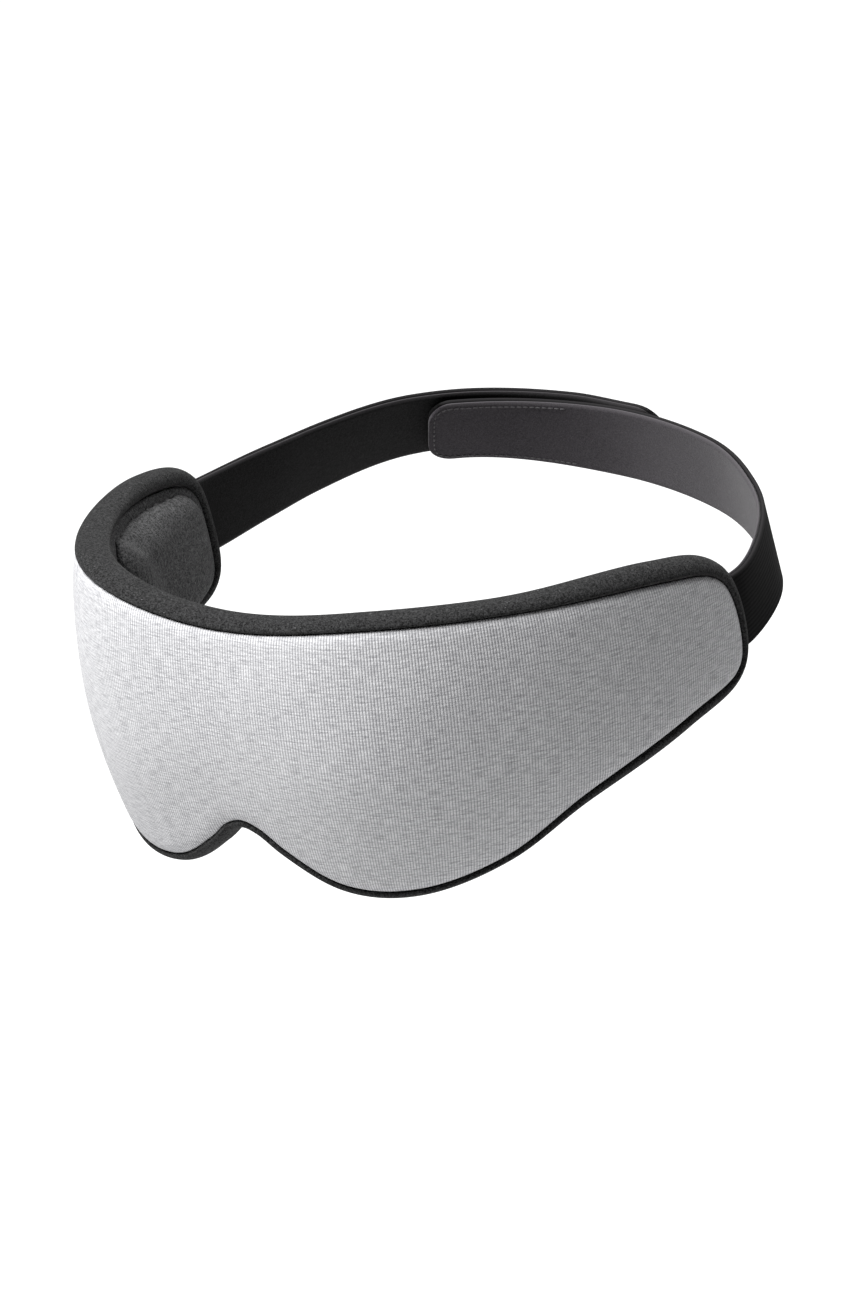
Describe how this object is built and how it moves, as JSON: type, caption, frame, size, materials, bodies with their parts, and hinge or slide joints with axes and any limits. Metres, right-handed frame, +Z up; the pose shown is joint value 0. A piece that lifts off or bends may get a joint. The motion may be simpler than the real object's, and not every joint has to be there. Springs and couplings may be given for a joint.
{
  "type": "contoured sleep eye mask",
  "caption": "Soft contoured eye mask with padded wings, a dark edge band and a two-part adjustable head strap with a hook tab.",
  "frame": {"origin": "middle of the head opening, level with the middle of the mask's height", "axes": "+Z up as worn, -Y the way the wearer looks, +X the wearer's left"},
  "size_m": [0.1614, 0.1824, 0.0709],
  "materials": {
    "heather_jersey": "light grey heather cotton jersey, matt, fine vertical wales",
    "blackout_film": "thin matt black light-proof film",
    "foam": "soft open-cell grey foam",
    "dark_lining": "brushed charcoal knit, matt",
    "band_cloth": "charcoal knit edge band, soft sheen",
    "black_elastic": "near-black ribbed elastic, soft sheen",
    "velour": "dark grey short-pile velour",
    "loop_pile": "black brushed loop pile",
    "hook_tape": "black moulded hook tape",
    "thread": "dark polyester thread"
  },
  "bodies": {
    "mask": {"front_jersey": "heather_jersey", "blackout_film": "blackout_film", "foam_core": "foam", "face_lining": "dark_lining", "edge_band": "band_cloth", "left_temple_foam": "foam", "right_temple_foam": "foam", "left_temple_cover": "dark_lining", "right_temple_cover": "dark_lining", "left_strap_anchor": "black_elastic", "right_strap_anchor": "black_elastic", "left_anchor_stitching": "thread", "right_anchor_stitching": "thread"},
    "left_strap": {"left_strap_elastic": "black_elastic", "left_strap_velour": "velour"},
    "tab": {"tab_elastic": "black_elastic", "tab_velour": "velour", "tab_hook_patch": "hook_tape", "tab_border_stitching": "thread"},
    "right_strap": {"right_strap_elastic": "black_elastic", "right_strap_loop_pile": "loop_pile"}
  },
  "joints": [
    {"name": "right_strap_swing", "type": "hinge", "parent": "mask", "child": "right_strap", "pos_m": [-0.07733, -0.00134, 0.0115], "axis": [0, 0, 1], "range_deg": [0, 100]},
    {"name": "left_strap_fold", "type": "hinge", "parent": "mask", "child": "left_strap", "pos_m": [0.07733, -0.00134, 0.0115], "axis": [0, 0, 1], "range_deg": [0, 18]},
    {"name": "tab_peel", "type": "hinge", "parent": "left_strap", "child": "tab", "pos_m": [-0.02386, 0.07432, 0.01154], "axis": [0.0708, -0.2536, 0.9647], "range_deg": [0, 60]}
  ]
}
